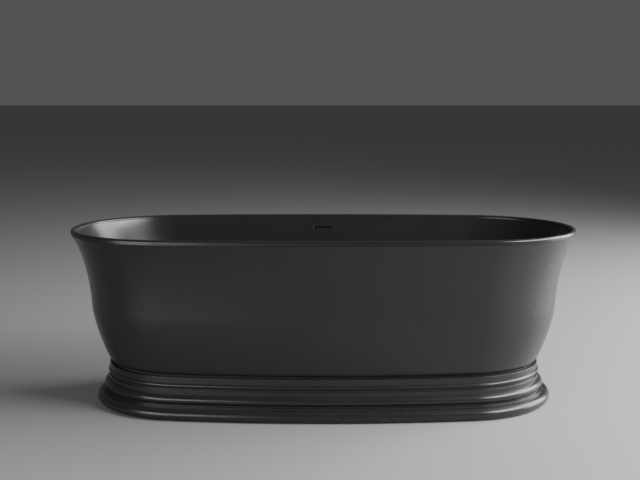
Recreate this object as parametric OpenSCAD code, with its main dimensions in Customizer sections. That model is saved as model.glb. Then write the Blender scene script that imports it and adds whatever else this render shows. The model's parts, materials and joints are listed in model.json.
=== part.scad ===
// A double-skinned freestanding bath on a moulded plinth, with its cradle, levelling feet, pop-up waste,
// slot overflow and shallow trap. The origin is the middle of the footprint, on the floor.
// X runs along the bath, +Y is the overflow side, Z is up. Lengths are in millimetres.

/* [Overall] */
// Length over the rim
bath_length = 1700; // [1660:10:1760]
// Width over the rim
bath_width = 750; // [740:5:790]
// Height of the rim above the floor
bath_height = 580; // [576:1:596]
// Radius of the rolled rim
roll_radius = 8; // [7.5:0.5:9]

/* [Outer skin] */
// How far the waist lies inside the rim, at the ends
waist_inset = 67; // [60:1:74]
// How far the foot of the skin lies inside the rim, at the ends
foot_inset = 129; // [124:1:134]
// Inset of the long sides as a share of the inset of the ends
side_share = 0.54; // [0.5:0.01:0.56]
// Height of the waist above the floor
waist_height = 328; // [318:1:336]
// Lean of the wall at the waist, as run over rise
waist_lean = 0.066; // [0.05:0.002:0.08]
// Thickness of the moulded shells
shell_thickness = 5; // [4:0.5:5]

/* [Plinth] */
// Length over the bottom moulding
plinth_length = 1534; // [1530:2:1540]
// Width over the bottom moulding
plinth_width = 700; // [696:2:704]
// Height of the plinth
plinth_height = 132; // [130:1:133]
// Height of the shadow gap under the skin
gap_height = 6; // [5:0.5:6.5]

/* [Waste and overflow] */
// Width of the overflow slot
slot_width = 67; // [50:1:70]
// Height of the overflow slot
slot_height = 7; // [5:0.5:8]
// Depth of the slot's centre below the rim
slot_drop = 48; // [46:1:50]
// Lift of the pop-up plug
plug_lift = 9; // [6:0.5:10]
// Outer diameter of the overflow hose
hose_d = 21; // [19:0.5:22]

/* [Feet] */
// Diameter of the threaded foot rods
rod_d = 12; // [10:1:12]
// Diameter of the foot pads
pad_d = 44; // [36:1:50]

/* [Hidden] */
$fn = 96;
arc_fn = 256;
touch = 0.01;

body_color = [0.19, 0.19, 0.18];
board_color = [0.72, 0.58, 0.38];
steel_color = [0.70, 0.71, 0.72];
rubber_color = [0.07, 0.07, 0.07];
plastic_color = [0.88, 0.88, 0.86];
duct_color = [0.05, 0.05, 0.05];

// Four-centred ovals, [half length, half width, bow]: the ends are arcs of radius half width less bow,
// and the long sides are arcs that meet them smoothly.
rim_oval = [bath_length / 2, bath_width / 2, 21.5];
foot_bow = 29.6;
plinth_oval = [plinth_length / 2, plinth_width / 2, foot_bow];

side_steps = 4;
end_steps = 16;
ring_points = 4 * (side_steps + end_steps);

// Heights that several pieces share
roll_z = bath_height - roll_radius;
lip_z = bath_height - 2 * roll_radius;
skin_foot_z = plinth_height + gap_height;
flange_thickness = 6;
skin_flange_width = 36;
floor_z = 155;
underside_z = 149;
board_thickness = 18;
board_z = underside_z - board_thickness;

// Basin walls, [half length, half width, height] at each control point of two cubic curves
wall_top = [rim_oval[0] - 2 * roll_radius, rim_oval[1] - 2 * roll_radius, roll_z - 2];
wall_foot = [660, 272, 250];
wall_path = [wall_top, wall_top - [10, 24, 50], wall_top - [99, 67, 160], wall_foot];
cove_path = [wall_foot, [625, 262, 190], [590, 225, 162], [540, 170, floor_z + 6]];

// Waste: radii and heights round the vertical axis through the origin
waste_hole_r = 23;
seat_r = 36;
seat_z = floor_z - 2.5;
washer_thickness = 0.8;
flange_r = 35;
flange_top_z = floor_z + 0.6;
sleeve_r = 22;
sleeve_foot_z = 118;
waste_top_z = 146.5;
cup_r = 28;
neck_r = 23;
neck_z = 78;
port_z = 104;
port_end_y = 46;
cartridge_r = 8;
cartridge_z = 104;
cartridge_top_z = 148;
stem_r = 4;
collar_r = 6;
collar_z = 127;
cap_r = 32;
seal_thickness = 2.5;
fit = 0.05;

// The plug stands open at rest, one lift above the flange
seal_foot_z = flange_top_z + plug_lift;
cap_foot_z = seal_foot_z + seal_thickness;

// Trap: a U of this bend radius under the waste, then a leg with a cap and a level branch
trap_r = 19;
trap_wall = 3;
bend_r = 34;
bend_z = 60;
leg_top_z = 111;
branch_z = 82;
socket_r = 24.5;
pipe_r = 20.1;
socket_end_x = -136;
outlet_end_x = -152;

// Overflow: the slot's height on the +Y wall, depths behind the wall's inside, and the hose's route
slot_z = bath_height - slot_drop;
gasket_depth = 5.2;
head_depth = 7;
head_back = 14.5;
duct_back = 30;
spigot_depth = 20;
duct_span = 0.4;
hose_wall = 2;
hose_route = [[298, 240], [286, 200], [278, 172], [258, 148], [232, 131], [206, 114], [150, port_z]];

// Cradle
channel_x = 380;
channel_half = 200;
foot_y = 178;
centre_x = 250;
web_z = 106;
channel_steel = 2;
channel_half_width = 20;
lip_width = 17;
front_left = [-channel_x, -foot_y];
rear_left = [-channel_x, foot_y];
front_right = [channel_x, -foot_y];
rear_right = [channel_x, foot_y];
centre = [centre_x, 0];
foot_places = [front_left, rear_left, front_right, rear_right, centre];
strap_x = 200;
strap_z = plinth_height - flange_thickness - 3;
bolt_line = -67;

// ---- Ovals ----

function end_radius(oval) = oval[1] - oval[2];
function end_centre(oval) = oval[0] - end_radius(oval);
function side_centre(oval) = (pow(end_centre(oval), 2) - pow(oval[2], 2)) / (2 * oval[2]);
function join_angle(oval) = atan2(side_centre(oval), end_centre(oval));

// One quarter of an oval, from its +Y point to its +X point
function oval_quarter(oval) =
    let (r = end_radius(oval), c = end_centre(oval), h = side_centre(oval), join = join_angle(oval))
    concat(
        [for (i = [0 : side_steps - 1]) let (t = 90 - (90 - join) * i / side_steps)
            [(h + oval[1]) * cos(t), (h + oval[1]) * sin(t) - h]],
        [for (i = [0 : end_steps]) let (t = join * (1 - i / end_steps)) [c + r * cos(t), r * sin(t)]]);

// The whole oval at height z, clockwise as seen from above
function oval_ring(oval, z) =
    let (q = oval_quarter(oval), n = len(q) - 1)
    concat(
        [for (i = [0 : n - 1]) [q[i][0], q[i][1], z]],
        [for (i = [n : -1 : 1]) [q[i][0], -q[i][1], z]],
        [for (i = [0 : n - 1]) [-q[i][0], -q[i][1], z]],
        [for (i = [n : -1 : 1]) [-q[i][0], q[i][1], z]]);

// A circle with as many points as an oval ring, in the same order
function round_ring(r, z) = [for (i = [0 : ring_points - 1]) [r * sin(360 * i / ring_points),
                                                              r * cos(360 * i / ring_points), z]];

function blend_rings(a, b, t) = [for (i = [0 : len(a) - 1]) a[i] * (1 - t) + b[i] * t];

// The bow goes from the rim's to the foot's as an oval gets smaller
function sized_oval(a, b) =
    [a, b, rim_oval[2] + (foot_bow - rim_oval[2]) * min(1, (rim_oval[0] - a) / foot_inset)];

// Sweeps the children's outline round an oval: x is the distance outside the oval, y the height.
// The end arcs run a little way inside the side arcs, so that the four make one solid.
module oval_sweep(oval) {
    join = join_angle(oval);
    lap = 0.2;
    tuck = 0.01;
    for (turn = [0, 180]) rotate([0, 0, turn]) {
        translate([end_centre(oval), 0, 0])
            rotate_extrude(start = -join - lap, angle = 2 * (join + lap), $fn = arc_fn)
                translate([end_radius(oval) - tuck, 0]) children();
        translate([0, -side_centre(oval), 0])
            rotate_extrude(start = join, angle = 180 - 2 * join, $fn = arc_fn)
                translate([side_centre(oval) + oval[1], 0]) children();
    }
}

// ---- Curves and skins ----

function bezier(p, t) = p[0] * pow(1 - t, 3) + p[1] * 3 * t * pow(1 - t, 2)
                      + p[2] * 3 * t * t * (1 - t) + p[3] * pow(t, 3);
function bezier_slope(p, t) = (p[1] - p[0]) * pow(1 - t, 2) + (p[2] - p[1]) * 2 * t * (1 - t)
                            + (p[3] - p[2]) * t * t;
function along(p, steps, first = 0) = [for (i = [first : steps]) bezier(p, i / steps)];

// A closed skin through rings of equal length, whose section is listed clockwise.
// A looped skin joins its last ring to its first, and any other is capped.
module skin(rings, looped = false) {
    n = len(rings[0]);
    m = len(rings);
    spans = looped ? m : m - 1;
    caps = looped ? [] : [[for (i = [0 : n - 1]) i], [for (i = [n - 1 : -1 : 0]) (m - 1) * n + i]];
    sides = [for (j = [0 : spans - 1], i = [0 : n - 1])
        let (u = j * n, l = ((j + 1) % m) * n, k = (i + 1) % n)
        each [[u + k, u + i, l + i], [u + k, l + i, l + k]]];
    polyhedron(points = [for (r = rings) each r], faces = concat(caps, sides), convexity = 10);
}

module ring_of(outer_r, inner_r, z0, z1) {
    translate([0, 0, z0]) difference() {
        cylinder(r = outer_r, h = z1 - z0);
        translate([0, 0, -1]) cylinder(r = inner_r, h = z1 - z0 + 2);
    }
}

module hex_nut(across, bore_r, height) {
    difference() {
        cylinder(r = across / 2 / cos(30), h = height, $fn = 6);
        translate([0, 0, -1]) cylinder(r = bore_r, h = height + 2);
    }
}

// ---- Shells ----

// How far above and below the waist the wall's curves keep its lean
flare_reach = 86;
belly_reach = 42;

// Outer skin: [inset at the ends, height] down the wall, a flare above the waist and a belly below it
waist = [waist_inset, waist_height];
flare_path = [[0.5, lip_z - 0.5], [40, lip_z - 58.5], waist + flare_reach * [-waist_lean, 1], waist];
belly_path = [waist, waist + belly_reach * [waist_lean, -1], [foot_inset - 37, skin_foot_z + 75],
              [foot_inset, skin_foot_z]];

function wall_oval(inset, depth = 0) =
    sized_oval(rim_oval[0] - inset - depth, rim_oval[1] - inset * side_share - depth);
function wall_rings(points, depth = 0) = [for (p = points) oval_ring(wall_oval(p[0], depth), p[1])];

// The basin wall's outside: its inside moved out along the wall's own slope, and down over the floor
function outside_of(path, t, depth = shell_thickness) =
    let (p = bezier(path, t), d = bezier_slope(path, t), n = [d[2], -d[0]] / norm([d[0], d[2]]))
    [p[0] - n[0] * depth, p[1] - n[0] * depth, max(underside_z, p[2] - n[1] * depth)];

function basin_ring(p) = oval_ring(sized_oval(p[0], p[1]), p[2]);

module basin_solid() {
    roll = concat(
        [for (i = [8 : -1 : 0]) let (t = 22.5 * i)
            [roll_radius * (1 - cos(t)), roll_z + roll_radius * sin(t)]],
        [[0, lip_z], [roll_radius * 2 / 3, lip_z]]);
    floor_edge = basin_ring(cove_path[3]);
    drain = round_ring(seat_r + 24, floor_z + 0.5);
    inside_up = concat(
        [round_ring(seat_r + 8, floor_z), drain],
        [for (t = [0.75, 0.5, 0.25]) blend_rings(floor_edge, drain, t)],
        [for (i = [8 : -1 : 1]) basin_ring(bezier(cove_path, i / 8))],
        [for (i = [10 : -1 : 0]) basin_ring(bezier(wall_path, i / 10))]);
    outside_down = concat(
        [for (i = [0 : 10]) basin_ring(outside_of(wall_path, i / 10))],
        [for (i = [1 : 4]) basin_ring(outside_of(cove_path, i / 5))],
        [oval_ring(sized_oval(cove_path[3][0], cove_path[3][1] + 4), underside_z)]);
    rim = [for (p = roll) basin_ring([rim_oval[0] - p[0], rim_oval[1] - p[0], p[1]])];
    skin(concat(inside_up, rim, outside_down));
}

// A slot with round ends through the wall and into the duct's head, at the overflow
module overflow_slot(extra = 0) {
    half = (slot_width - slot_height) / 2;
    front_y = bezier(wall_path, slot_t)[1] - 10;
    length = 20.5;
    translate([0, front_y, slot_z]) rotate([-90, 0, 0]) {
        translate([-half, -slot_height / 2 - extra, 0]) cube([2 * half, slot_height + 2 * extra, length]);
        for (x = [-half, half]) translate([x, 0, 0]) cylinder(r = slot_height / 2 + extra, h = length);
    }
}

module basin_shell() {
    color(body_color) difference() {
        basin_solid();
        overflow_slot();
        overflow_screw_places(2) cylinder(r = screw_r, h = 10);
        cylinder(r = waste_hole_r, h = floor_z + 10);
        translate([0, 0, seat_z]) cylinder(r = seat_r, h = 20);
    }
}

// Bonding paste in the pocket between the basin wall and the top of the outer skin
module rim_bond() {
    clear = 0.3;
    outer = [for (t = [0.01, 0.07]) wall_rings([bezier(flare_path, t)], shell_thickness + clear)[0]];
    inner = [for (t = [0.1, 0.05]) basin_ring(outside_of(wall_path, t, shell_thickness + clear))];
    color("dimgray") skin(concat(outer, inner), looped = true);
}

// The skin's foot turns inwards as a flat flange, whose top meets the wall at this point
flange_root = bezier(belly_path, 0.985);

// The rings that round off the corner between a ring and another, past the corner's own ring
function bend_rings(a, corner, b, steps) =
    [for (k = [1 : steps]) let (t = k / steps)
        [for (i = [0 : len(a) - 1]) a[i] * pow(1 - t, 2) + corner[i] * 2 * t * (1 - t) + b[i] * t * t]];

module outer_skin() {
    foot_bend = 8;
    foot = wall_oval(foot_inset);
    wall = wall_rings(concat(along(flare_path, 12), [for (i = [1 : 8]) bezier(belly_path, i * 0.11)]));
    bend = bend_rings(wall[len(wall) - 1], oval_ring(foot, skin_foot_z),
                      oval_ring(wall_oval(foot_inset, foot_bend), skin_foot_z), 3);
    outside = concat(wall, bend);
    flange_edge = [foot[0] - skin_flange_width, foot[1] - skin_flange_width, foot[2]];
    flange = [oval_ring(flange_edge, skin_foot_z), oval_ring(flange_edge, flange_root[1])];
    inside = wall_rings(
        concat([flange_root], [for (i = [7 : -1 : 1]) bezier(belly_path, i / 8)],
               [for (i = [8 : -1 : 0]) bezier(flare_path, i / 8)]),
        shell_thickness);
    color(body_color) difference() {
        skin(concat(outside, flange, inside), looped = true);
        flange_places() translate([0, 0, skin_foot_z - 5]) cylinder(r = 3.5, h = 20);
    }
}

// ---- Plinth ----

// A stretch of a circle in an outline, in equal steps between two angles
function arc(middle, r, from, to, steps) =
    [for (i = [0 : steps]) let (t = from + (to - from) * i / steps) middle + r * [cos(t), sin(t)]];

// The angle at which a circle meets an upright face at x
function meeting(middle, r, x) = acos((x - middle[0]) / r);

lower_torus = [-19, 19];
lower_torus_r = 19;
upper_torus = [-40, 61];
upper_torus_r = 16;
bead = [-45, 105];
bead_r = 8;
torus_wall = 8;
lower_fillet_x = -22;
upper_fillet_x = -30;
fillet_z = 44;
band_x = -38.5;
band_top_z = 92;
neck_x = -43;
fascia_x = -42;
plinth_inside_x = -52;
plinth_flange_x = -82;

// [Distance outside the plinth's oval, height], clockwise from the flange's inner edge: the fascia, a
// bead, a flat band, a torus, a fillet and a larger torus, then the inside. The tori are hollow.
plinth_outline = concat(
    [[plinth_flange_x, plinth_height - flange_thickness], [plinth_flange_x, plinth_height],
     [fascia_x, plinth_height]],
    arc(bead, bead_r, meeting(bead, bead_r, fascia_x), -meeting(bead, bead_r, neck_x), 5),
    [[neck_x, band_top_z], [band_x, band_top_z]],
    arc(upper_torus, upper_torus_r, meeting(upper_torus, upper_torus_r, band_x),
        -meeting(upper_torus, upper_torus_r, upper_fillet_x), 6),
    [[upper_fillet_x, fillet_z], [lower_fillet_x, fillet_z]],
    arc(lower_torus, lower_torus_r, meeting(lower_torus, lower_torus_r, lower_fillet_x), -90, 7),
    [[-46, 0], [-46, torus_wall]],
    arc(lower_torus, lower_torus_r - torus_wall, -90, 90, 3),
    [[-48, 30], [-48, 53]],
    arc(upper_torus, upper_torus_r - torus_wall, -90, 90, 3),
    [[plinth_inside_x, 69], [plinth_inside_x, plinth_height - flange_thickness]]);

module plinth() {
    rings = [for (p = plinth_outline)
        oval_ring([plinth_oval[0] + p[0], plinth_oval[1] + p[0], plinth_oval[2]], p[1])];
    color(body_color) difference() {
        skin(rings, looped = true);
        flange_places() translate([0, 0, plinth_height - 20]) cylinder(r = 3.5, h = 40);
    }
}

module gap_seal() {
    color(rubber_color) difference() {
        oval_sweep(plinth_oval) translate([-80, plinth_height]) square([24, gap_height]);
        flange_places() translate([0, 0, plinth_height - 1]) cylinder(r = 3.5, h = gap_height + 2);
    }
}

// Where straps meet the flange: four on the long sides and one at each end
function side_y(oval, x, line) =
    sqrt(pow(side_centre(oval) + oval[1] + line, 2) - x * x) - side_centre(oval);
strap_places = concat(
    [for (x = [-strap_x, strap_x], s = [-1, 1]) [x, s * side_y(plinth_oval, strap_x, bolt_line), s * 90]],
    [[plinth_oval[0] + bolt_line, 0, 0], [-plinth_oval[0] - bolt_line, 0, 180]]);
corner_places = [for (sx = [-1, 1], sy = [-1, 1])
    [sx * (end_centre(plinth_oval) + (end_radius(plinth_oval) + bolt_line) * cos(48)),
     sy * (end_radius(plinth_oval) + bolt_line) * sin(48)]];

module flange_places() {
    for (p = concat(strap_places, corner_places)) translate([p[0], p[1], 0]) children();
}

module flange_bolt(head_z) {
    translate([0, 0, head_z - 4]) cylinder(r = 5.8, h = 4, $fn = 6);
    translate([0, 0, head_z - touch]) cylinder(r = 3, h = skin_foot_z + 14 - head_z);
}

module flange_bolts() {
    color(steel_color) {
        for (p = strap_places) translate([p[0], p[1], 0]) flange_bolt(strap_z);
        for (p = corner_places) translate([p[0], p[1], 0]) flange_bolt(plinth_height - flange_thickness);
    }
}

module flange_nuts() {
    color(steel_color)
        flange_places() translate([0, 0, flange_root[1]]) hex_nut(10, 3 + fit, 5);
}

// ---- Board and cradle ----

module base_board() {
    half_width = 165;
    run = 365;
    color(board_color) translate([0, 0, board_z]) difference() {
        union() {
            translate([-run, -half_width, 0]) cube([2 * run, 2 * half_width, board_thickness]);
            for (x = [-run, run]) translate([x, 0, 0]) cylinder(r = half_width, h = board_thickness);
        }
        translate([0, 0, -1]) cylinder(r = 58, h = board_thickness + 2);
        screw_places() translate([0, 0, -1]) cylinder(r = 2.5, h = 15);
        strap_screw_places() translate([0, 0, -1]) cylinder(r = 2.5, h = 15);
    }
}

// A hat channel along Y: its web is low, and its lips screw up into the board
module hat_channel(half, bores) {
    rise = board_z - web_z;
    color(steel_color) difference() {
        rotate([90, 0, 0]) translate([0, 0, -half]) linear_extrude(2 * half) {
            translate([-channel_half_width, web_z]) square([2 * channel_half_width, channel_steel]);
            for (s = [0, 1]) mirror([s, 0]) {
                translate([channel_half_width - channel_steel, web_z]) square([channel_steel, rise]);
                translate([channel_half_width - channel_steel, board_z - channel_steel])
                    square([lip_width + channel_steel, channel_steel]);
            }
        }
        for (y = bores) translate([0, y, web_z - 1]) cylinder(r = rod_d / 2 + 0.1, h = 4);
        for (x = [-1, 1], y = lip_screws(half))
            translate([x * (channel_half_width + lip_width / 2), y, board_z - 5]) cylinder(r = 2.6, h = 10);
    }
}

function lip_screws(half) = half > 100 ? [-110, -40, 40, 110] : [-30, 30];

module channel_left() {
    translate([-channel_x, 0, 0]) hat_channel(channel_half, [-foot_y, foot_y]);
}

module channel_right() {
    translate([channel_x, 0, 0]) hat_channel(channel_half, [-foot_y, foot_y]);
}

module channel_centre() {
    translate([centre_x, 0, 0]) hat_channel(45, [0]);
}

module screw_places() {
    for (c = [[-channel_x, channel_half], [channel_x, channel_half], [centre_x, 45]])
        for (s = [-1, 1], y = lip_screws(c[1]))
            translate([c[0] + s * (channel_half_width + lip_width / 2), y, 0]) children();
}

// A pan-head wood screw driven upwards, with the underside of its head at z
module board_screw(z, length) {
    translate([0, 0, z - 2.4]) cylinder(r = 4.5, h = 2.4);
    translate([0, 0, z - touch]) cylinder(r = 2.5, h = length);
}

module board_screws() {
    color(steel_color) screw_places() board_screw(board_z - channel_steel, 14);
}

module channel_nuts() {
    nut_height = 8;
    color(steel_color) for (p = foot_places) translate([p[0], p[1], 0]) {
        translate([0, 0, web_z - nut_height]) hex_nut(19, rod_d / 2 + 0.1, nut_height);
        translate([0, 0, web_z + channel_steel]) hex_nut(19, rod_d / 2 + 0.1, nut_height);
    }
}

// Flat steel straps tie the board to the flange that the skin and the plinth share
module tie_straps() {
    width = 25;
    color(steel_color) for (p = strap_places) {
        span = norm([p[0], p[1]] - strap_inner(p));
        translate([p[0], p[1], strap_z]) rotate([0, 0, p[2]]) difference() {
            translate([-span - 14, -width / 2, 0]) cube([span + 14 + 10, width, 3]);
            translate([0, 0, -1]) cylinder(r = 3.5, h = 5);
            translate([-span, 0, -1]) cylinder(r = 2.6, h = 5);
        }
    }
}

function strap_inner(p) = p[2] % 180 == 0 ? [sign(p[0]) * 500, 0] : [p[0], sign(p[1]) * 145];

module strap_screw_places() {
    for (p = strap_places) translate([strap_inner(p)[0], strap_inner(p)[1], 0]) children();
}

module strap_packers() {
    side = 26;
    base = strap_z + 3;
    color(plastic_color) strap_screw_places() translate([0, 0, base]) difference() {
        translate([-side / 2, -side / 2, 0]) cube([side, side, board_z - base]);
        translate([0, 0, -1]) cylinder(r = 2.6, h = board_z - base + 2);
    }
}

module strap_screws() {
    color(steel_color) strap_screw_places() board_screw(strap_z, board_z - strap_z + 12);
}

// ---- Levelling feet ----

module foot_rod(place) {
    color(steel_color) translate([place[0], place[1], 4]) cylinder(r = rod_d / 2, h = 114);
}

module foot_pad(place) {
    base_h = 10;
    color(rubber_color) translate([place[0], place[1], 0]) difference() {
        union() {
            cylinder(r = pad_d / 2, h = base_h);
            translate([0, 0, base_h - touch]) cylinder(r1 = pad_d / 2 - 6, r2 = rod_d / 2 + 4, h = 6);
        }
        translate([0, 0, 4]) cylinder(r = rod_d / 2, h = 20);
    }
}

// ---- Waste ----

module waste_flange() {
    rib_z = 136;
    color(body_color) {
        ring_of(flange_r, sleeve_r - 2.5, seat_z + washer_thickness, flange_top_z);
        ring_of(sleeve_r, sleeve_r - 2.5, sleeve_foot_z, flange_top_z);
        ring_of(cartridge_r + 3, cartridge_r + fit, rib_z, rib_z + 6);
        for (a = [90, 210, 330]) rotate([0, 0, a])
            translate([cartridge_r + 1, -1.5, rib_z]) cube([sleeve_r - 2 - cartridge_r - 1, 3, 6]);
    }
}

module waste_top_seal() {
    color(rubber_color) ring_of(flange_r - 1, waste_hole_r + 0.5, seat_z, seat_z + washer_thickness);
}

module waste_lower_seal() {
    color(rubber_color) ring_of(cup_r + 8, waste_hole_r, waste_top_z, underside_z);
}

module waste_body() {
    shoulder_z = 90;
    color(plastic_color) difference() {
        union() {
            translate([0, 0, waste_top_z - 4]) cylinder(r = cup_r + 9, h = 4);
            translate([0, 0, shoulder_z - 3]) cylinder(r = cup_r, h = waste_top_z - shoulder_z + 2);
            translate([0, 0, neck_z]) cylinder(r = neck_r, h = 20);
            translate([0, 0, port_z]) rotate([-90, 0, 0]) cylinder(r = 13, h = port_end_y);
            translate([0, 0, port_z]) rotate([-90, 0, 0])
                cylinder(r = hose_d / 2 - hose_wall - 0.5, h = port_end_y + 18);
        }
        translate([0, 0, sleeve_foot_z - 2]) cylinder(r = sleeve_r + fit, h = 40);
        translate([0, 0, shoulder_z]) cylinder(r = cup_r - 3.5, h = sleeve_foot_z - shoulder_z - 1);
        translate([0, 0, neck_z - 1]) cylinder(r = neck_r - 5, h = 20);
        translate([0, 10, port_z]) rotate([-90, 0, 0]) cylinder(r = hose_d / 2 - 4.5, h = 70);
    }
}

module click_cartridge() {
    color(steel_color) difference() {
        union() {
            translate([0, 0, cartridge_z]) cylinder(r = cartridge_r, h = cartridge_top_z - cartridge_z);
            translate([0, 0, cartridge_top_z - 6]) cylinder(r = 10.4, h = 4, $fn = 6);
        }
        translate([0, 0, cartridge_z + 2]) cylinder(r = collar_r + 0.5, h = 36);
        translate([0, 0, cartridge_z + 20]) cylinder(r = stem_r + fit, h = 40);
    }
}

// A compression spring between the cartridge's floor and the stem's collar
module click_spring() {
    wire_r = 0.6;
    coil_r = 5.1;
    turns = 6;
    per_turn = 14;
    sides = 6;
    bottom = cartridge_z + 2;
    top = collar_z;
    rise = top - bottom - 2 * wire_r - 0.2;
    rings = [for (i = [0 : turns * per_turn])
        let (a = 360 * i / per_turn, z = bottom + 0.1 + wire_r + rise * i / (turns * per_turn))
        [for (j = [0 : sides - 1]) let (b = -360 * j / sides, r = coil_r + wire_r * cos(b))
            [r * cos(a), -r * sin(a), z + wire_r * sin(b)]]];
    color(steel_color) skin(rings);
}

module plug_stem() {
    color(steel_color) {
        translate([0, 0, collar_z]) cylinder(r = collar_r, h = 3);
        translate([0, 0, collar_z]) cylinder(r = stem_r, h = cap_foot_z + 3 - collar_z);
    }
}

module plug_cap() {
    edge_h = 3;
    dome_r = 150;
    dome_h = dome_r - sqrt(dome_r * dome_r - cap_r * cap_r);
    color(body_color) difference() {
        union() {
            translate([0, 0, cap_foot_z]) cylinder(r = cap_r, h = edge_h);
            intersection() {
                translate([0, 0, cap_foot_z + edge_h + dome_h - dome_r]) sphere(r = dome_r, $fn = 200);
                translate([0, 0, cap_foot_z + 1]) cylinder(r = cap_r, h = 20);
            }
        }
        translate([0, 0, cap_foot_z - 1]) cylinder(r = stem_r, h = 4);
    }
}

module plug_seal() {
    color(rubber_color) ring_of(27, 14, seal_foot_z, cap_foot_z);
}

// ---- Overflow ----

slot_t = lookup(slot_z, [for (i = [0 : 20]) [bezier(wall_path, i / 40)[2], i / 40]]);
head_start = slot_t - 0.07;
head_end = slot_t + 0.07;
duct_end = head_end + duct_span;
screw_r = 1.6;

// Direction down the +Y wall at the middle of the bath, and a point behind its inside: [y, z]
function wall_run(t) = let (d = bezier_slope(wall_path, t)) [d[1], d[2]] / norm([d[1], d[2]]);
function behind_wall(t, depth) =
    let (p = bezier(wall_path, t), run = wall_run(t)) [p[1] - run[1] * depth, p[2] + run[0] * depth];

// A slab that follows the wall from t0 to t1, between two depths at each end
module wall_slab(t0, t1, near, far0, far1, width) {
    steps = 10;
    front = [for (i = [0 : steps]) behind_wall(t0 + (t1 - t0) * i / steps, near)];
    back = [for (i = [steps : -1 : 0])
        behind_wall(t0 + (t1 - t0) * i / steps, far0 + (far1 - far0) * i / steps)];
    rotate([90, 0, 90]) translate([0, 0, -width / 2]) linear_extrude(width) polygon(concat(front, back));
}

// Moves children to a point of the plane x = 0 and turns their +Z along a direction in it
module in_plane(point, direction) {
    translate([0, point[0], point[1]]) rotate([atan2(-direction[0], direction[1]), 0, 0]) children();
}

// Either side of the slot, +Z pointing into the back of the wall from this depth under its inside
module overflow_screw_places(depth) {
    run = wall_run(slot_t);
    for (x = [-42, 42])
        translate([x, 0, 0]) in_plane(behind_wall(slot_t, depth), [-run[1], run[0]]) children();
}

module overflow_gasket() {
    color(rubber_color) difference() {
        wall_slab(head_start, head_end, gasket_depth, head_depth, head_depth, 96);
        overflow_slot(1);
        overflow_screw_places(2) cylinder(r = screw_r, h = 10);
    }
}

module overflow_duct() {
    wall = 1.8;
    spigot_r = hose_d / 2 - hose_wall - 0.5;
    color(duct_color) difference() {
        union() {
            wall_slab(head_start, head_end, head_depth, head_back, head_back, 96);
            wall_slab(head_end - 0.02, duct_end, head_depth, head_back, duct_back, 58);
            in_plane(behind_wall(duct_end, spigot_depth), wall_run(duct_end))
                translate([0, 0, -2]) cylinder(r = spigot_r, h = 26);
        }
        wall_slab(head_start + 0.02, head_end - 0.01, head_depth + wall, head_back - wall,
                  head_back - wall, 72);
        wall_slab(head_end - 0.03, duct_end - 0.01, head_depth + wall, head_back - wall,
                  duct_back - wall, 54);
        in_plane(behind_wall(duct_end, spigot_depth), wall_run(duct_end))
            translate([0, 0, -10]) cylinder(r = spigot_r - 2, h = 40);
        overflow_slot();
        overflow_screw_places(2) cylinder(r = screw_r, h = 20);
    }
}

module overflow_screws() {
    color(steel_color) overflow_screw_places(head_back) {
        translate([0, 0, -11.5]) cylinder(r = screw_r, h = 11.6);
        cylinder(r = 3, h = 1.8);
    }
}

// The hose's centre line, all in the plane x = 0, as three cubic curves: [y, z] control points
duct_run = wall_run(duct_end);
hose_top = behind_wall(duct_end, spigot_depth) + duct_run * 6;
hose_path = [
    [hose_top, hose_top + duct_run * 50, hose_route[0], hose_route[1]],
    [hose_route[1], hose_route[2], hose_route[3], hose_route[4]],
    [hose_route[4], hose_route[5], hose_route[6], [port_end_y + 2, port_z]]];

function hose_rings(r, sides, steps) = [for (k = [0 : 2], i = [k == 0 ? 0 : 1 : steps])
    let (p = bezier(hose_path[k], i / steps), d = bezier_slope(hose_path[k], i / steps),
         out = [d[1], -d[0]] / norm(d))
    [for (j = [0 : sides - 1]) let (a = 360 * j / sides)
        [r * sin(a), p[0] - out[0] * r * cos(a), p[1] - out[1] * r * cos(a)]]];

module overflow_hose() {
    sides = 12;
    steps = 10;
    bore = hose_rings(hose_d / 2 - hose_wall, sides, steps);
    color("lightgray")
        skin(concat(hose_rings(hose_d / 2, sides, steps), [for (i = [len(bore) - 1 : -1 : 0]) bore[i]]),
             looped = true);
}

module hose_nut(length) {
    color(plastic_color) difference() {
        union() {
            cylinder(r = hose_d / 2 + 3, h = length);
            for (a = [0 : 30 : 330]) rotate([0, 0, a])
                translate([hose_d / 2 + 2, -1.5, 2]) cube([1.8, 3, length - 4]);
        }
        translate([0, 0, -1]) cylinder(r = hose_d / 2 + 0.2, h = length + 2);
    }
}

module hose_nut_upper() {
    in_plane(hose_top, duct_run) hose_nut(16);
}

module hose_nut_lower() {
    in_plane([port_end_y + 1, port_z], [1, 0]) hose_nut(18);
}

// ---- Trap ----

module trap_washer() {
    color(rubber_color) ring_of(neck_r - 0.5, neck_r - 5, neck_z - 2.5, neck_z);
}

module trap_union_nut() {
    color(plastic_color) difference() {
        union() {
            translate([0, 0, neck_z - 9]) cylinder(r = neck_r + 5, h = 18);
            for (a = [0 : 20 : 340]) rotate([0, 0, a])
                translate([neck_r + 4, -1.5, neck_z - 8]) cube([2.4, 3, 16]);
        }
        translate([0, 0, neck_z - 6]) cylinder(r = neck_r + fit, h = 20);
        translate([0, 0, neck_z - 10]) cylinder(r = trap_r + 0.3, h = 10);
    }
}

// The water way of the trap, grown by wall
module trap_way(r, extend) {
    translate([0, 0, bend_z]) cylinder(r = r, h = neck_z - 2.5 - bend_z + extend);
    translate([-bend_r, 0, bend_z]) rotate([-90, 0, 0])
        rotate_extrude(angle = 180) translate([bend_r, 0]) circle(r = r);
    translate([-2 * bend_r, 0, bend_z]) cylinder(r = r, h = leg_top_z - bend_z + extend);
    translate([-2 * bend_r, 0, branch_z]) rotate([0, -90, 0])
        cylinder(r = r, h = -socket_end_x - 2 * bend_r + extend);
}

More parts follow.
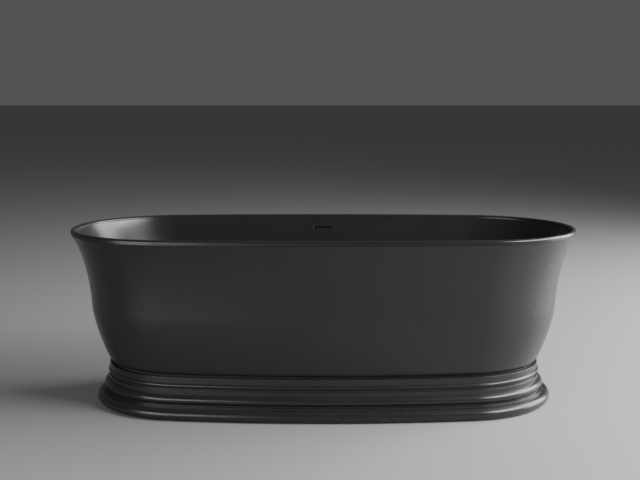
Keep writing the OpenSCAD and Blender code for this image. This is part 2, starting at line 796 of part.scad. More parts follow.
module trap_body() {
    collar_h = 3.5;
    socket_length = 32;
    color(plastic_color) difference() {
        union() {
            trap_way(trap_r, 0);
            translate([0, 0, neck_z - 2.5 - collar_h]) cylinder(r = neck_r - 0.5, h = collar_h);
            translate([socket_end_x, 0, branch_z]) rotate([0, 90, 0])
                cylinder(r = socket_r, h = socket_length + 4);
        }
        trap_way(trap_r - trap_wall, 5);
        translate([socket_end_x - 1, 0, branch_z]) rotate([0, 90, 0])
            cylinder(r = pipe_r, h = socket_length + 1);
    }
}

module trap_cap_washer() {
    color(rubber_color) translate([-2 * bend_r, 0, 0])
        ring_of(trap_r, trap_r - trap_wall, leg_top_z, leg_top_z + 2.5);
}

module trap_access_cap() {
    cap_foot = leg_top_z - 9;
    color(plastic_color) translate([-2 * bend_r, 0, 0]) difference() {
        union() {
            translate([0, 0, cap_foot]) cylinder(r = trap_r + 4, h = 15);
            translate([-15, -2, cap_foot + 15 - touch]) cube([30, 4, 4]);
        }
        translate([0, 0, cap_foot - 1]) cylinder(r = trap_r + fit, h = 12.5);
    }
}

module along_outlet(x) {
    translate([x, 0, branch_z]) rotate([0, 90, 0]) children();
}

module trap_outlet_seal() {
    color(rubber_color) along_outlet(socket_end_x - 8) ring_of(socket_r - 0.2, pipe_r + 0.15, 0, 8);
}

module trap_outlet_nut() {
    color(plastic_color) along_outlet(outlet_end_x) difference() {
        union() {
            cylinder(r = socket_r + 4, h = 30);
            for (a = [0 : 20 : 340]) rotate([0, 0, a])
                translate([socket_r + 3, -1.5, 2]) cube([2.4, 3, 26]);
        }
        translate([0, 0, outlet_end_x * -1 + socket_end_x - 8]) cylinder(r = socket_r + fit, h = 40);
        translate([0, 0, -1]) cylinder(r = pipe_r + 0.2, h = 12);
    }
}

// ---- Nodes ----

basin_shell();
rim_bond();
outer_skin();
plinth();
gap_seal();
flange_bolts();
flange_nuts();
base_board();
channel_left();
channel_right();
channel_centre();
board_screws();
channel_nuts();
tie_straps();
strap_packers();
strap_screws();
foot_rod(front_left);  // foot_rod_front_left
foot_rod(rear_left);  // foot_rod_rear_left
foot_rod(front_right);  // foot_rod_front_right
foot_rod(rear_right);  // foot_rod_rear_right
foot_rod(centre);  // foot_rod_centre
foot_pad(front_left);  // foot_pad_front_left
foot_pad(rear_left);  // foot_pad_rear_left
foot_pad(front_right);  // foot_pad_front_right
foot_pad(rear_right);  // foot_pad_rear_right
foot_pad(centre);  // foot_pad_centre
waste_flange();
waste_top_seal();
waste_lower_seal();
waste_body();
click_cartridge();
click_spring();
plug_stem();
plug_cap();
plug_seal();
overflow_gasket();
overflow_duct();
overflow_screws();
overflow_hose();
hose_nut_upper();
hose_nut_lower();
trap_washer();
trap_union_nut();
trap_body();
trap_cap_washer();
trap_access_cap();
trap_outlet_seal();
trap_outlet_nut();
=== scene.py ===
import json
import math

import bpy
import numpy as np
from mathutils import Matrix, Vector


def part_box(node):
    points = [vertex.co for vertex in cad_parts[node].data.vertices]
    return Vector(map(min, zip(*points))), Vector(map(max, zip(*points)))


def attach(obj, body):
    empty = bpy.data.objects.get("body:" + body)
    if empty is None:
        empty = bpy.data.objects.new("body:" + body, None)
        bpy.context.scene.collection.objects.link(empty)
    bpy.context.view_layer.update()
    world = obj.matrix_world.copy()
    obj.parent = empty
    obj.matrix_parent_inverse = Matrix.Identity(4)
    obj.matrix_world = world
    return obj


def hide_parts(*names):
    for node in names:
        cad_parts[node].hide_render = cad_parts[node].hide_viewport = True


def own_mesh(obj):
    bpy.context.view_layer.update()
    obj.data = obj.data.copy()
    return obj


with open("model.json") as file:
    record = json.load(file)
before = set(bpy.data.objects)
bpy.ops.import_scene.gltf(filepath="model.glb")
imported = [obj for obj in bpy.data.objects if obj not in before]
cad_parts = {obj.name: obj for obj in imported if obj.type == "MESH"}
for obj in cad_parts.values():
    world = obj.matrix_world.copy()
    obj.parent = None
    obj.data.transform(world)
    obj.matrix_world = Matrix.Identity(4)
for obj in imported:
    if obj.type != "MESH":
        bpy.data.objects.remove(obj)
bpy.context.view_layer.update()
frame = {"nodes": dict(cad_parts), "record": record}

# ---- Dimensions, from the frame, in metres ----

MM = 0.001
rim_half_length, rim_half_width, rim_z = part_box("basin_shell")[1]
underside_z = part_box("basin_shell")[0].z
skin_foot_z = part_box("outer_skin")[0].z
skin_top_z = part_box("outer_skin")[1].z
plinth_half_length, plinth_half_width, plinth_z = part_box("plinth")[1]

skin_drop = 0.5 * MM
roll_radius = (rim_z - skin_top_z - skin_drop) / 2
roll_z = rim_z - roll_radius
shell_thickness = 5 * MM
floor_z = underside_z + shell_thickness + 1 * MM

# How much each long side of an oval bulges beyond its ends' arcs
rim_bow = 21.5 * MM
foot_bow = 29.6 * MM

# Insets from the rim at the waist and the foot, and the sides' share of them
waist_inset = 67 * MM
foot_inset = 129 * MM
side_share = 0.54
waist_z = 328 * MM
waist_lean = 0.066
flange_width = 36 * MM
foot_bend = 8 * MM

SIDE_STEPS = 28
END_STEPS = 44
RING = 4 * (SIDE_STEPS + END_STEPS)
SHARP_ANGLE = math.radians(35)


# ---- Ovals and curves ----

def oval(half_length, half_width, bow, z):
    """A ring of points round a four-centred oval, clockwise as seen from above, from its +Y point."""
    end_radius = half_width - bow
    end_centre = half_length - end_radius
    side_centre = (end_centre ** 2 - bow ** 2) / (2 * bow)
    join = math.atan2(side_centre, end_centre)
    side = np.linspace(math.pi / 2, join, SIDE_STEPS, endpoint=False)
    end = np.linspace(join, 0, END_STEPS + 1)
    side_radius = side_centre + half_width
    x = np.concatenate([side_radius * np.cos(side), end_centre + end_radius * np.cos(end)])
    y = np.concatenate([side_radius * np.sin(side) - side_centre, end_radius * np.sin(end)])
    out, back = slice(None, -1), slice(None, 0, -1)
    ring = [(x[out], y[out]), (x[back], -y[back]), (-x[out], -y[out]), (-x[back], y[back])]
    xs, ys = (np.concatenate(part) for part in zip(*ring))
    return np.stack([xs, ys, np.full(RING, z)], 1)


def bow_at(half_length):
    """The bow goes from the rim's to the foot's as an oval gets smaller."""
    return rim_bow + (foot_bow - rim_bow) * min(1, (rim_half_length - half_length) / foot_inset)


def body_ring(size):
    """The oval of a half length, half width and height."""
    return oval(size[0], size[1], bow_at(size[0]), size[2])


def round_ring(radius, z):
    """A circle with as many points as an oval, in the same order."""
    turn = np.arange(RING) * 2 * math.pi / RING
    return np.stack([radius * np.sin(turn), radius * np.cos(turn), np.full(RING, z)], 1)


def bezier(p, t):
    """Points of a cubic curve at the parameters t."""
    t = np.asarray(t, float)[..., None]
    return (p[0] * (1 - t) ** 3 + p[1] * 3 * t * (1 - t) ** 2 + p[2] * 3 * t ** 2 * (1 - t) + p[3] * t ** 3)


def bezier_slope(p, t):
    """Directions of a cubic curve at the parameters t."""
    t = np.asarray(t, float)[..., None]
    return (p[1] - p[0]) * (1 - t) ** 2 + (p[2] - p[1]) * 2 * t * (1 - t) + (p[3] - p[2]) * t ** 2


def bend(a, corner, b, steps):
    """Points that round a corner between a and b."""
    return [a * (1 - t) ** 2 + corner * 2 * t * (1 - t) + b * t ** 2 for t in np.linspace(0, 1, steps + 1)]


def arc(middle, radius, start, end, steps):
    """Points of a circle between two angles in degrees."""
    turn = np.radians(np.linspace(start, end, steps + 1))
    return [np.array(middle) + radius * np.array((math.cos(t), math.sin(t))) for t in turn]


# ---- Mesh building ----

def shade(mesh):
    """Smooth shading, with the true corners kept crisp."""
    mesh.shade_smooth()
    mesh.set_sharp_from_angle(angle=SHARP_ANGLE)


def loft(name, rings, looped=True):
    """A closed skin through rings of equal length: the last joins the first, or both ends are capped."""
    points = np.concatenate(rings)
    count, size = len(rings), len(rings[0])
    upper = np.arange(count if looped else count - 1)[:, None] * size
    lower = (upper + size) % (count * size)
    i = np.arange(size)[None, :]
    k = (i + 1) % size
    quads = np.stack([upper + i, upper + k, lower + k, lower + i], -1).reshape(-1, 4)
    faces = quads.tolist()
    if not looped:
        faces.append(list(range(size))[::-1])
        faces.append([(count - 1) * size + j for j in range(size)])
    mesh = bpy.data.meshes.new(name)
    mesh.from_pydata(points.tolist(), [], faces)
    mesh.update()
    shade(mesh)
    piece = bpy.data.objects.new(name, mesh)
    bpy.context.scene.collection.objects.link(piece)
    return piece


def stand_in(piece, node, body, slot_name):
    """A built piece takes a CAD node's place."""
    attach(piece, body)
    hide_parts(node)
    piece.data.materials.append(finishes[slot_name])
    return piece


def cut(piece, cutter):
    """Cuts one mesh with another, and keeps the large faces' shading true round the cut."""
    boolean = piece.modifiers.new("cut", "BOOLEAN")
    boolean.operation = "DIFFERENCE"
    boolean.solver = "EXACT"
    boolean.object = cutter
    settle(piece)
    bpy.data.objects.remove(cutter)
    shade(piece.data)
    weigh(piece)


def weigh(piece):
    """Turns the shading of fillets towards the larger faces beside them."""
    weighted = piece.modifiers.new("weighted", "WEIGHTED_NORMAL")
    weighted.keep_sharp = True
    weighted.weight = 80
    settle(piece)


def settle(piece):
    """Replaces a piece's mesh by its modified one."""
    evaluated = piece.evaluated_get(bpy.context.evaluated_depsgraph_get())
    piece.data = bpy.data.meshes.new_from_object(evaluated)
    piece.modifiers.clear()


# ---- Finishes ----

def finish(name, colour, roughness, metallic=0.0, mottle=(4, 0.06), gloss=(60, 0.04),
           relief=(1200, 0.02), stretch=(1, 1, 1), settings=()):
    """A node material whose colour, gloss and relief vary over the surface.

    mottle is (scale per metre, share of the colour), gloss (scale, change of roughness) and relief
    (scale, depth in millimetres).
    """
    made = bpy.data.materials.new(name)
    made.use_nodes = True
    made.diffuse_color = (*colour, 1)
    nodes, links = made.node_tree.nodes, made.node_tree.links
    shader = nodes["Principled BSDF"]
    shader.inputs["Metallic"].default_value = metallic
    for socket, value in settings:
        shader.inputs[socket].default_value = value
    place = nodes.new("ShaderNodeTexCoord")
    scaled = nodes.new("ShaderNodeMapping")
    scaled.inputs["Scale"].default_value = stretch
    links.new(place.outputs["Object"], scaled.inputs["Vector"])

    def noise(scale, detail):
        texture = nodes.new("ShaderNodeTexNoise")
        texture.inputs["Scale"].default_value = scale
        texture.inputs["Detail"].default_value = detail
        links.new(scaled.outputs["Vector"], texture.inputs["Vector"])
        return texture.outputs["Fac"]

    colours = nodes.new("ShaderNodeValToRGB")
    colours.color_ramp.elements[0].position = 0.3
    colours.color_ramp.elements[1].position = 0.7
    for element, share in zip(colours.color_ramp.elements, (1 - mottle[1], 1 + mottle[1])):
        element.color = (*[min(1, c * share) for c in colour], 1)
    links.new(noise(mottle[0], 4), colours.inputs["Fac"])
    links.new(colours.outputs["Color"], shader.inputs["Base Color"])

    rough = nodes.new("ShaderNodeMapRange")
    rough.inputs["From Min"].default_value = 0.3
    rough.inputs["From Max"].default_value = 0.7
    rough.inputs["To Min"].default_value = roughness - gloss[1]
    rough.inputs["To Max"].default_value = roughness + gloss[1]
    links.new(noise(gloss[0], 5), rough.inputs["Value"])
    links.new(rough.outputs["Result"], shader.inputs["Roughness"])

    bump = nodes.new("ShaderNodeBump")
    bump.inputs["Distance"].default_value = relief[1] * MM
    links.new(noise(relief[0], 3), bump.inputs["Height"])
    links.new(bump.outputs["Normal"], shader.inputs["Normal"])
    return made


def add_relief(made, height, depth):
    """A second layer of relief over a finish, from a node's output."""
    nodes, links = made.node_tree.nodes, made.node_tree.links
    shader = nodes["Principled BSDF"]
    first = shader.inputs["Normal"].links[0].from_socket
    bump = nodes.new("ShaderNodeBump")
    bump.inputs["Distance"].default_value = depth
    links.new(height, bump.inputs["Height"])
    links.new(first, bump.inputs["Normal"])
    links.new(bump.outputs["Normal"], shader.inputs["Normal"])


def grooved(made, pitch, depth):
    """Fine level grooves, such as a thread's, one pitch apart."""
    nodes, links = made.node_tree.nodes, made.node_tree.links
    place = nodes.new("ShaderNodeTexCoord")
    split = nodes.new("ShaderNodeSeparateXYZ")
    links.new(place.outputs["Object"], split.inputs["Vector"])
    wave = nodes.new("ShaderNodeMath")
    wave.operation = "PINGPONG"
    wave.inputs[1].default_value = pitch / 2
    links.new(split.outputs["Z"], wave.inputs[0])
    height = nodes.new("ShaderNodeMath")
    height.operation = "DIVIDE"
    height.inputs[1].default_value = pitch / 2
    links.new(wave.outputs["Value"], height.inputs[0])
    add_relief(made, height.outputs["Value"], depth)
    return made


def dusted(made, dust, amount):
    """A little dust lies on what faces up."""
    nodes, links = made.node_tree.nodes, made.node_tree.links
    shader = nodes["Principled BSDF"]
    base = shader.inputs["Base Color"].links[0].from_socket
    geometry = nodes.new("ShaderNodeNewGeometry")
    split = nodes.new("ShaderNodeSeparateXYZ")
    links.new(geometry.outputs["Normal"], split.inputs["Vector"])
    upward = nodes.new("ShaderNodeMapRange")
    upward.inputs["From Min"].default_value = 0.55
    upward.inputs["From Max"].default_value = 1.0
    upward.inputs["To Max"].default_value = amount
    links.new(split.outputs["Z"], upward.inputs["Value"])
    place = nodes.new("ShaderNodeTexCoord")
    specks = nodes.new("ShaderNodeTexNoise")
    specks.inputs["Scale"].default_value = 90
    specks.inputs["Detail"].default_value = 8
    links.new(place.outputs["Object"], specks.inputs["Vector"])
    share = nodes.new("ShaderNodeMath")
    share.operation = "MULTIPLY"
    links.new(upward.outputs["Result"], share.inputs[0])
    links.new(specks.outputs["Fac"], share.inputs[1])
    mix = nodes.new("ShaderNodeMix")
    mix.data_type = "RGBA"
    links.new(share.outputs["Value"], mix.inputs["Factor"])
    links.new(base, mix.inputs["A"])
    mix.inputs["B"].default_value = (*dust, 1)
    links.new(mix.outputs["Result"], shader.inputs["Base Color"])
    return made


def grained(made, along, depth):
    """Wood grain: long, thin light and dark lines along X."""
    nodes, links = made.node_tree.nodes, made.node_tree.links
    place = nodes.new("ShaderNodeTexCoord")
    scaled = nodes.new("ShaderNodeMapping")
    scaled.inputs["Scale"].default_value = along
    links.new(place.outputs["Object"], scaled.inputs["Vector"])
    lines = nodes.new("ShaderNodeTexNoise")
    lines.inputs["Scale"].default_value = 1
    lines.inputs["Detail"].default_value = 6
    links.new(scaled.outputs["Vector"], lines.inputs["Vector"])
    shader = nodes["Principled BSDF"]
    base = shader.inputs["Base Color"].links[0].from_socket
    mix = nodes.new("ShaderNodeMix")
    mix.data_type = "RGBA"
    mix.blend_type = "MULTIPLY"
    mix.inputs["Factor"].default_value = 0.5
    links.new(base, mix.inputs["A"])
    links.new(lines.outputs["Fac"], mix.inputs["B"])
    links.new(mix.outputs["Result"], shader.inputs["Base Color"])
    add_relief(made, lines.outputs["Fac"], depth)
    return made


def spangled(made, scale, depth):
    """The crystals of a zinc coating."""
    nodes, links = made.node_tree.nodes, made.node_tree.links
    place = nodes.new("ShaderNodeTexCoord")
    cells = nodes.new("ShaderNodeTexVoronoi")
    cells.inputs["Scale"].default_value = scale
    links.new(place.outputs["Object"], cells.inputs["Vector"])
    shader = nodes["Principled BSDF"]
    base = shader.inputs["Base Color"].links[0].from_socket
    mix = nodes.new("ShaderNodeMix")
    mix.data_type = "RGBA"
    mix.blend_type = "SOFT_LIGHT"
    mix.inputs["Factor"].default_value = 0.35
    links.new(base, mix.inputs["A"])
    links.new(cells.outputs["Color"], mix.inputs["B"])
    links.new(mix.outputs["Result"], shader.inputs["Base Color"])
    add_relief(made, cells.outputs["Distance"], depth)
    return made


DUST = (0.16, 0.155, 0.15)

finishes = {
    "matt_black_shell": dusted(
        finish("matt_black_shell", (0.0150, 0.0147, 0.0140), 0.28, mottle=(3, 0.07), gloss=(9, 0.03),
               relief=(420, 0.012), settings=[("Specular IOR Level", 0.5)]),
        DUST, 0.14),
    "bonding_paste": finish("bonding_paste", (0.30, 0.30, 0.28), 0.75, mottle=(40, 0.15),
                            relief=(150, 0.6)),
    "black_rubber": finish("black_rubber", (0.018, 0.018, 0.018), 0.72, mottle=(30, 0.2),
                           gloss=(200, 0.08), relief=(900, 0.05)),
    "zinc_steel": spangled(
        finish("zinc_steel", (0.55, 0.56, 0.57), 0.38, metallic=1.0, mottle=(30, 0.10),
               gloss=(120, 0.10), relief=(700, 0.02)), 260, 0.01 * MM),
    "threaded_steel": grooved(
        finish("threaded_steel", (0.52, 0.53, 0.54), 0.34, metallic=1.0, mottle=(60, 0.10),
               gloss=(200, 0.08), relief=(1500, 0.01)), 1.75 * MM, 0.9 * MM),
    "board": grained(finish("board", (0.62, 0.47, 0.30), 0.70, mottle=(6, 0.12), gloss=(40, 0.06),
                            relief=(500, 0.05)), (6, 90, 220), 0.10 * MM),
    "white_plastic": finish("white_plastic", (0.80, 0.80, 0.77), 0.36, mottle=(8, 0.03),
                            gloss=(50, 0.05), relief=(900, 0.015),
                            settings=[("Subsurface Weight", 0.08), ("Subsurface Scale", 2 * MM)]),
    "black_plastic": finish("black_plastic", (0.020, 0.020, 0.020), 0.50, mottle=(12, 0.08),
                            gloss=(60, 0.05), relief=(700, 0.02)),
    "black_metal": dusted(
        finish("black_metal", (0.030, 0.030, 0.029), 0.36, mottle=(20, 0.08), gloss=(60, 0.04),
               relief=(1400, 0.012)), DUST, 0.12),
    "brass_insert": finish("brass_insert", (0.66, 0.47, 0.20), 0.30, metallic=1.0, mottle=(70, 0.12),
                           gloss=(150, 0.08), relief=(1600, 0.01)),
    "bright_steel": finish("bright_steel", (0.68, 0.68, 0.69), 0.22, metallic=1.0, mottle=(50, 0.05),
                           gloss=(300, 0.07), relief=(900, 0.01), stretch=(1, 1, 0.05)),
    "grey_hose": finish("grey_hose", (0.46, 0.46, 0.46), 0.50, mottle=(15, 0.06), gloss=(80, 0.05),
                        relief=(1000, 0.03)),
}

# Every carried-over node takes the finish of its material slot, but the foot rods are threaded
for part in frame["record"]["subparts"]:
    threaded = part["node"].startswith("foot_rod_")
    node = frame["nodes"][part["node"]]
    node.data.materials.clear()
    node.data.materials.append(finishes["threaded_steel" if threaded else part["material_slot"]])


# ---- Basin ----

wall_top = np.array([rim_half_length - 2 * roll_radius, rim_half_width - 2 * roll_radius, roll_z - 2 * MM])
wall_foot = np.array([660, 272, 250]) * MM
wall_path = np.array([wall_top, wall_top - np.array([10, 24, 50]) * MM,
                      wall_top - np.array([99, 67, 160]) * MM, wall_foot])
cove_foot = np.array([540 * MM, 170 * MM, floor_z + 6 * MM])
cove_path = np.array([wall_foot, np.array([625, 262, 190]) * MM, np.array([590, 225, 162]) * MM, cove_foot])
waste_hole_radius = 23 * MM
seat_radius = 36 * MM
seat_z = floor_z - 2.5 * MM


def outside_of(path, t):
    """The basin wall's outside: its inside moved out along the wall's own slope, and down to the floor."""
    points, slopes = bezier(path, t), bezier_slope(path, t)
    normals = np.stack([slopes[:, 2], -slopes[:, 0]], 1)
    normals /= np.linalg.norm(normals, axis=1)[:, None]
    points[:, :2] -= normals[:, :1] * shell_thickness
    points[:, 2] = np.maximum(underside_z, points[:, 2] - normals[:, 1] * shell_thickness)
    return points


def build_basin():
    """The inner bath: waste seat, floor, cove, wall, rolled rim and underside."""
    lip = 1.2 * MM
    edge = 0.4 * MM
    roll_foot_z = roll_z - roll_radius
    floor_edge = body_ring(cove_foot)
    drain = round_ring(seat_radius + 24 * MM, floor_z + 0.5 * MM)
    seat_lip = arc((seat_radius + lip, floor_z - lip), lip, 180, 90, 4)
    seat = [round_ring(waste_hole_radius, underside_z), round_ring(waste_hole_radius, seat_z),
            round_ring(seat_radius, seat_z)]
    seat += [round_ring(r, z) for r, z in seat_lip]
    floor = [round_ring(seat_radius + 8 * MM, floor_z), drain]
    floor += [floor_edge * t + drain * (1 - t) for t in np.linspace(0, 1, 12)[1:-1]]
    inside = [body_ring(p) for p in bezier(cove_path, np.linspace(1, 0, 30)[:-1])]
    inside += [body_ring(p) for p in bezier(wall_path, np.linspace(1, 0, 60))]
    roll_outline = arc((0, roll_z), roll_radius, 180, 0, 26)
    roll_outline += arc((roll_radius - edge, roll_foot_z + edge), edge, 0, -90, 4)
    roll_outline += [(roll_radius / 3, roll_foot_z)]
    roll = []
    for x, z in roll_outline:
        inset = roll_radius - x
        roll.append(body_ring((rim_half_length - inset, rim_half_width - inset, z)))
    outside = [body_ring(p) for p in outside_of(wall_path, np.linspace(0, 1, 40))]
    outside += [body_ring(p) for p in outside_of(cove_path, np.linspace(0, 0.8, 16))[1:]]
    under = [body_ring((cove_foot[0], cove_foot[1] + 4 * MM, underside_z))]
    return loft("bath_basin", seat + floor + inside + roll + outside + under)


def wall_y(x, z):
    """The inside of the +Y wall."""
    t = np.linspace(0, 1, 2001)
    points = bezier(wall_path, t)
    half_length, half_width = (np.interp(z, points[::-1, 2], points[::-1, k]) for k in (0, 1))
    bow = rim_bow + (foot_bow - rim_bow) * np.minimum(1, (rim_half_length - half_length) / foot_inset)
    end_centre = half_length - half_width + bow
    side_centre = (end_centre ** 2 - bow ** 2) / (2 * bow)
    return np.sqrt((side_centre + half_width) ** 2 - x ** 2) - side_centre


def build_slot_cutter():
    """The overflow slot's space through the wall, with a rounded lip at the wall's inside."""
    lip = 1.3 * MM
    turn = np.linspace(-math.pi / 2, math.pi / 2, 25)
    profile = [(9 * MM, 0)]
    profile += [(lip * (1 - math.sin(a)), lip * (1 - math.cos(a))) for a in np.linspace(0, math.pi / 2, 5)]
    profile += [(-0.6 * MM, lip + 3 * MM)]
    rings = []
    for depth, grow in profile:
        radius = slot_half_height + grow
        ends = [(side * (slot_run + radius * np.cos(turn)), side * radius * np.sin(turn)) for side in (1, -1)]
        x = np.concatenate([e[0] for e in ends])
        z = slot_z + np.concatenate([e[1] for e in ends])
        rings.append(np.stack([x, wall_y(x, z) + depth, z], 1))
    return loft("slot_cutter", rings, looped=False)


slot_z = rim_z - 48 * MM
slot_half_height = 3.5 * MM
slot_run = 33.5 * MM - slot_half_height

basin = build_basin()
cut(basin, build_slot_cutter())
stand_in(basin, "basin_shell", "bath", "matt_black_shell")


# ---- Outer skin ----

def skin_size(inset, depth, z):
    """The half length and half width of the skin at an inset from the rim, and at a depth behind its face."""
    return np.array((rim_half_length - inset - depth, rim_half_width - inset * side_share - depth, z))


# The wall's profile: (inset at the ends, height), with the reach of its curves above and below the waist
flare_reach, belly_reach = 86 * MM, 42 * MM
waist = np.array((waist_inset, waist_z))
flare_path = np.array([(0.5 * MM, skin_top_z), (40 * MM, skin_top_z - 58 * MM),
                       waist + flare_reach * np.array((-waist_lean, 1)), waist])
belly_path = np.array([waist, waist + belly_reach * np.array((waist_lean, -1)),
                       (foot_inset - 37 * MM, skin_foot_z + 75 * MM), (foot_inset, skin_foot_z)])


def build_outer_skin():
    """The waisted outer body: a flare, a belly, and a flange turned inwards at the foot."""
    bend_t, root_t = 0.88, 0.985
    root = bezier(belly_path, root_t)
    flare = bezier(flare_path, np.linspace(0, 1, 50))
    belly = bezier(belly_path, np.linspace(0, bend_t, 46))[1:]
    foot = skin_size(foot_inset, 0, skin_foot_z)
    under = skin_size(foot_inset, foot_bend, skin_foot_z)
    sizes = [skin_size(inset, 0, z) for inset, z in np.concatenate([flare, belly])]
    sizes += bend(sizes[-1], foot, under, 12)[1:]
    sizes += [skin_size(foot_inset, flange_width, skin_foot_z), skin_size(foot_inset, flange_width, root[1])]
    inner = [bezier(belly_path, t) for t in np.linspace(root_t, 0, 24)]
    inner += [bezier(flare_path, t) for t in np.linspace(1, 0, 24)[1:]]
    sizes += [skin_size(inset, shell_thickness, z) for inset, z in inner]
    return loft("bath_outer_skin", [body_ring(size) for size in sizes])


outer_skin = build_outer_skin()
weigh(outer_skin)
stand_in(outer_skin, "outer_skin", "bath", "matt_black_shell")


# ---- Plinth ----

def rounded(corners):
    """A closed outline from (x, z, radius) corners, with each corner that has a radius rounded off."""
    points = []
    for i, (x, z, radius) in enumerate(corners):
        corner = np.array((x, z))
        if radius == 0:
            points.append(corner)
            continue
        back = np.array(corners[i - 1][:2]) - corner
        ahead = np.array(corners[(i + 1) % len(corners)][:2]) - corner
        back /= np.linalg.norm(back)
        ahead /= np.linalg.norm(ahead)
        turn = math.pi - math.acos(back @ ahead)
        reach = radius * math.tan(turn / 2)
        middle = corner + (back + ahead) / np.linalg.norm(back + ahead) * radius / math.cos(turn / 2)
        start, end = corner + back * reach - middle, corner + ahead * reach - middle
        for share in np.linspace(0, 1, 6):
            points.append(middle + (start * math.sin((1 - share) * turn) + end * math.sin(share * turn))
                          / math.sin(turn))
    return points


def hard(points):
    """Outline points with no rounding."""
    return [(x, z, 0) for x, z in points]


def meeting(middle, radius, x):
    """The angle in degrees at which a circle meets an upright face at x."""
    return math.degrees(math.acos((x - middle[0]) / radius))


def build_plinth():
    """The moulded plinth: fascia, bead, flat band, torus, fillet and a larger torus."""
    arris = 1.2 * MM
    lower, lower_radius = np.array((-19, 19)) * MM, 19 * MM
    upper, upper_radius = np.array((-40, 61)) * MM, 16 * MM
    bead, bead_radius = np.array((-45, 105)) * MM, 8 * MM
    wall = 8 * MM
    fascia_x, neck_x, band_x = -42 * MM, -43 * MM, -38.5 * MM
    upper_fillet_x, lower_fillet_x = -30 * MM, -22 * MM
    inside_x, flange_x = -52 * MM, -82 * MM
    flange_under_z = plinth_z - 6 * MM
    band_top_z, fillet_z = 92 * MM, 44 * MM
    corners = [(flange_x, flange_under_z, 0), (flange_x, plinth_z, 0), (fascia_x, plinth_z, arris)]
    corners += hard(arc(bead, bead_radius, meeting(bead, bead_radius, fascia_x),
                        -meeting(bead, bead_radius, neck_x), 24))
    corners += [(neck_x, band_top_z, 0), (band_x, band_top_z, arris)]
    corners += hard(arc(upper, upper_radius, meeting(upper, upper_radius, band_x),
                        -meeting(upper, upper_radius, upper_fillet_x), 32))
    corners += [(upper_fillet_x, fillet_z, 0), (lower_fillet_x, fillet_z, arris)]
    corners += hard(arc(lower, lower_radius, meeting(lower, lower_radius, lower_fillet_x), -90, 36))
    corners += hard([(-46 * MM, 0), (-46 * MM, wall)])
    corners += hard(arc(lower, lower_radius - wall, -90, 90, 12))
    corners += hard([(-48 * MM, 30 * MM), (-48 * MM, 53 * MM)])
    corners += hard(arc(upper, upper_radius - wall, -90, 90, 10))
    corners += hard([(inside_x, 69 * MM), (inside_x, flange_under_z)])
    rings = [oval(plinth_half_length + x, plinth_half_width + x, foot_bow, z) for x, z in rounded(corners)]
    return loft("bath_plinth", rings)


plinth = build_plinth()
weigh(plinth)
stand_in(plinth, "plinth", "bath", "matt_black_shell")


# ---- Plug, spring and hose ----

def lathe(name, outline, segments=128):
    """A solid turned about the Z axis from (radius, z) points, from its top centre to its bottom centre."""
    turn = np.arange(segments) * 2 * math.pi / segments
    rings = [np.stack([r * np.sin(turn), r * np.cos(turn), np.full(segments, z)], 1) for r, z in outline]
    return loft(name, rings, looped=False)


def build_plug_cap():
    """The domed push cap, with a rounded edge."""
    low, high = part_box("plug_cap")
    edge, foot_edge = 1.4 * MM, 0.6 * MM
    first_angle = 0.0008
    radius = high.x
    dome_radius = 150 * MM
    crown = high.z - dome_radius
    tangent = math.asin((radius - edge) / dome_radius)
    dome = [(dome_radius * math.sin(a), crown + dome_radius * math.cos(a))
            for a in np.linspace(first_angle, tangent, 24)]
    shoulder_z = dome[-1][1] - edge * math.cos(tangent)
    shoulder = arc((radius - edge, shoulder_z), edge, 90 - math.degrees(tangent), 0, 8)
    foot = arc((radius - foot_edge, low.z + foot_edge), foot_edge, 0, -90, 5)
    outline = dome + [tuple(p) for p in shoulder + foot] + [(2 * MM, low.z)]
    return lathe("plug_cap_turned", outline)


plug_cap = build_plug_cap()
stand_in(plug_cap, "plug_cap", "plug", "black_metal")


def build_spring():
    """A round wire coil between the cartridge's floor and the stem's collar."""
    low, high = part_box("click_spring")
    wire = 0.6 * MM
    coil = high.x - wire
    turns, per_turn, sides = 6, 40, 12
    around = np.arange(sides) * 2 * math.pi / sides
    rings = []
    for step in np.linspace(0, 1, turns * per_turn + 1):
        turn = 2 * math.pi * turns * step
        r = coil + wire * np.cos(around)
        z = low.z + wire + (high.z - low.z - 2 * wire) * step + wire * np.sin(around)
        rings.append(np.stack([r * math.cos(turn), -r * math.sin(turn), z], 1))
    return loft("click_spring_wire", rings, looped=False)


spring = stand_in(build_spring(), "click_spring", "bath", "bright_steel")
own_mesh(spring)


def wall_run(t):
    """Direction down the +Y wall at the middle of the bath, as (y, z)."""
    slope = bezier_slope(wall_path, t)[1:]
    return slope / np.linalg.norm(slope)


def hose_routes():
    """The hose's centre line from the overflow to the waste, as three cubic curves of (y, z) points."""
    steps = np.linspace(0, 1, 2001)
    slot_t = np.interp(slot_z, bezier(wall_path, steps)[::-1, 2], steps[::-1])
    duct_end = slot_t + 0.47
    spigot_depth = 20 * MM
    run = wall_run(duct_end)
    behind = bezier(wall_path, duct_end)[1:] + np.array((-run[1], run[0])) * spigot_depth
    top = behind + run * 6 * MM
    bends = [(298, 240), (286, 200), (278, 172), (258, 148), (232, 131), (206, 114), (150, 104)]
    bends = np.array(bends) * MM
    port = np.array((48 * MM, 104 * MM))
    return [np.array([top, top + run * 50 * MM, bends[0], bends[1]]), bends[1:5],
            np.array([bends[4], bends[5], bends[6], port])]


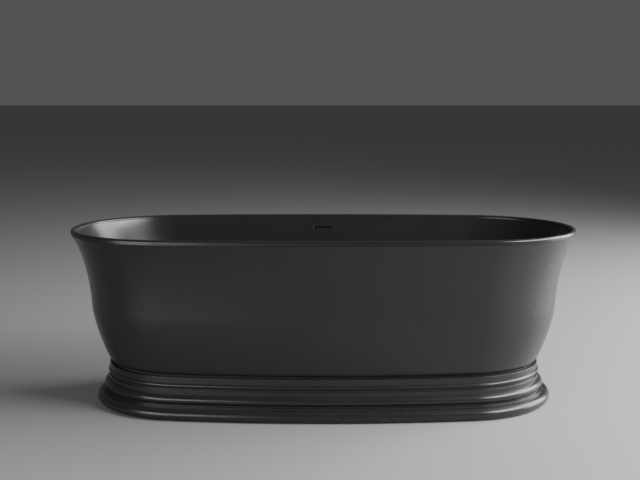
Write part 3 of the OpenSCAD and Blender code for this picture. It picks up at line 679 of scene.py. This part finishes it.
def build_hose():
    """The corrugated overflow hose, in the plane x = 0 behind the basin."""
    pitch, groove = 4.2 * MM, 1.3 * MM
    radius, wall = 10.5 * MM, 2 * MM
    sides = 28
    centre = []
    for path in hose_routes():
        points = bezier(path, np.linspace(0, 1, 201))
        centre.extend(points if not centre else points[1:])
    centre = np.array(centre)
    reach = np.concatenate([[0], np.cumsum(np.linalg.norm(np.diff(centre, axis=0), axis=1))])
    count = int(reach[-1] / pitch) * 6
    along = np.linspace(0, reach[-1], count + 1)
    y, z = (np.interp(along, reach, centre[:, k]) for k in (0, 1))
    slope_y, slope_z = np.gradient(y), np.gradient(z)
    length = np.hypot(slope_y, slope_z)
    across = np.stack([slope_z, -slope_y], 1) / length[:, None]
    around = np.arange(sides) * 2 * math.pi / sides
    wave = radius - groove * (0.5 - 0.5 * np.cos(2 * math.pi * along / pitch))

    def ring(k, r):
        side = r * np.cos(around)
        return np.stack([r * np.sin(around), y[k] - across[k, 0] * side, z[k] - across[k, 1] * side], 1)

    rings = [ring(k, wave[k]) for k in range(count + 1)]
    rings += [ring(k, radius - wall) for k in range(count, -1, -6)]
    return loft("overflow_hose_ribbed", rings)


hose = stand_in(build_hose(), "overflow_hose", "bath", "grey_hose")


# ---- Floor, light and camera ----

def plain(name, colour, roughness):
    """A plain studio finish."""
    made = bpy.data.materials.new(name)
    made.use_nodes = True
    shader = made.node_tree.nodes["Principled BSDF"]
    shader.inputs["Base Color"].default_value = (*colour, 1)
    shader.inputs["Roughness"].default_value = roughness
    return made


def build_floor():
    """A wide pale floor under the bath."""
    half = 60
    mesh = bpy.data.meshes.new("floor")
    corners = [(-half, -half, 0), (half, -half, 0), (half, half, 0), (-half, half, 0)]
    mesh.from_pydata(corners, [], [(0, 1, 2, 3)])
    floor = bpy.data.objects.new("floor", mesh)
    bpy.context.scene.collection.objects.link(floor)
    floor.data.materials.append(plain("floor", (0.38, 0.38, 0.375), 0.6))


def soft_light(name, position, target, width, height, power):
    """A rectangular area light that faces a point, and can't itself be seen."""
    light = bpy.data.lights.new(name, "AREA")
    light.shape = "RECTANGLE"
    light.size = width
    light.size_y = height
    light.energy = power
    lamp = bpy.data.objects.new(name, light)
    lamp.location = position
    lamp.rotation_euler = (Vector(target) - Vector(position)).to_track_quat("-Z", "Y").to_euler()
    lamp.visible_camera = False
    bpy.context.scene.collection.objects.link(lamp)


build_floor()
soft_light("window", (4.1, 1.1, 1.8), (0, 0, 0.3), 3.2, 3.2, 380)
soft_light("panel", (3.4, -1.6, 2.4), (0, 0, 0.4), 2.8, 1.8, 260)
soft_light("fill", (-3.0, -3.6, 0.9), (0, 0, 0.3), 3.6, 1.8, 105)

world = bpy.data.worlds.new("studio")
world.use_nodes = True
background = world.node_tree.nodes["Background"]
background.inputs["Color"].default_value = (0.62, 0.62, 0.62, 1)
background.inputs["Strength"].default_value = 0.15
bpy.context.scene.world = world

camera_tilt_down = 3.9
camera_data = bpy.data.cameras.new("camera")
camera_data.lens = 62.97
camera_data.shift_y = -0.12
camera = bpy.data.objects.new("camera", camera_data)
camera.location = (-0.012, -3.776, 1.052)
camera.rotation_euler = (math.radians(90 - camera_tilt_down), 0, 0)
bpy.context.scene.collection.objects.link(camera)
bpy.context.scene.camera = camera
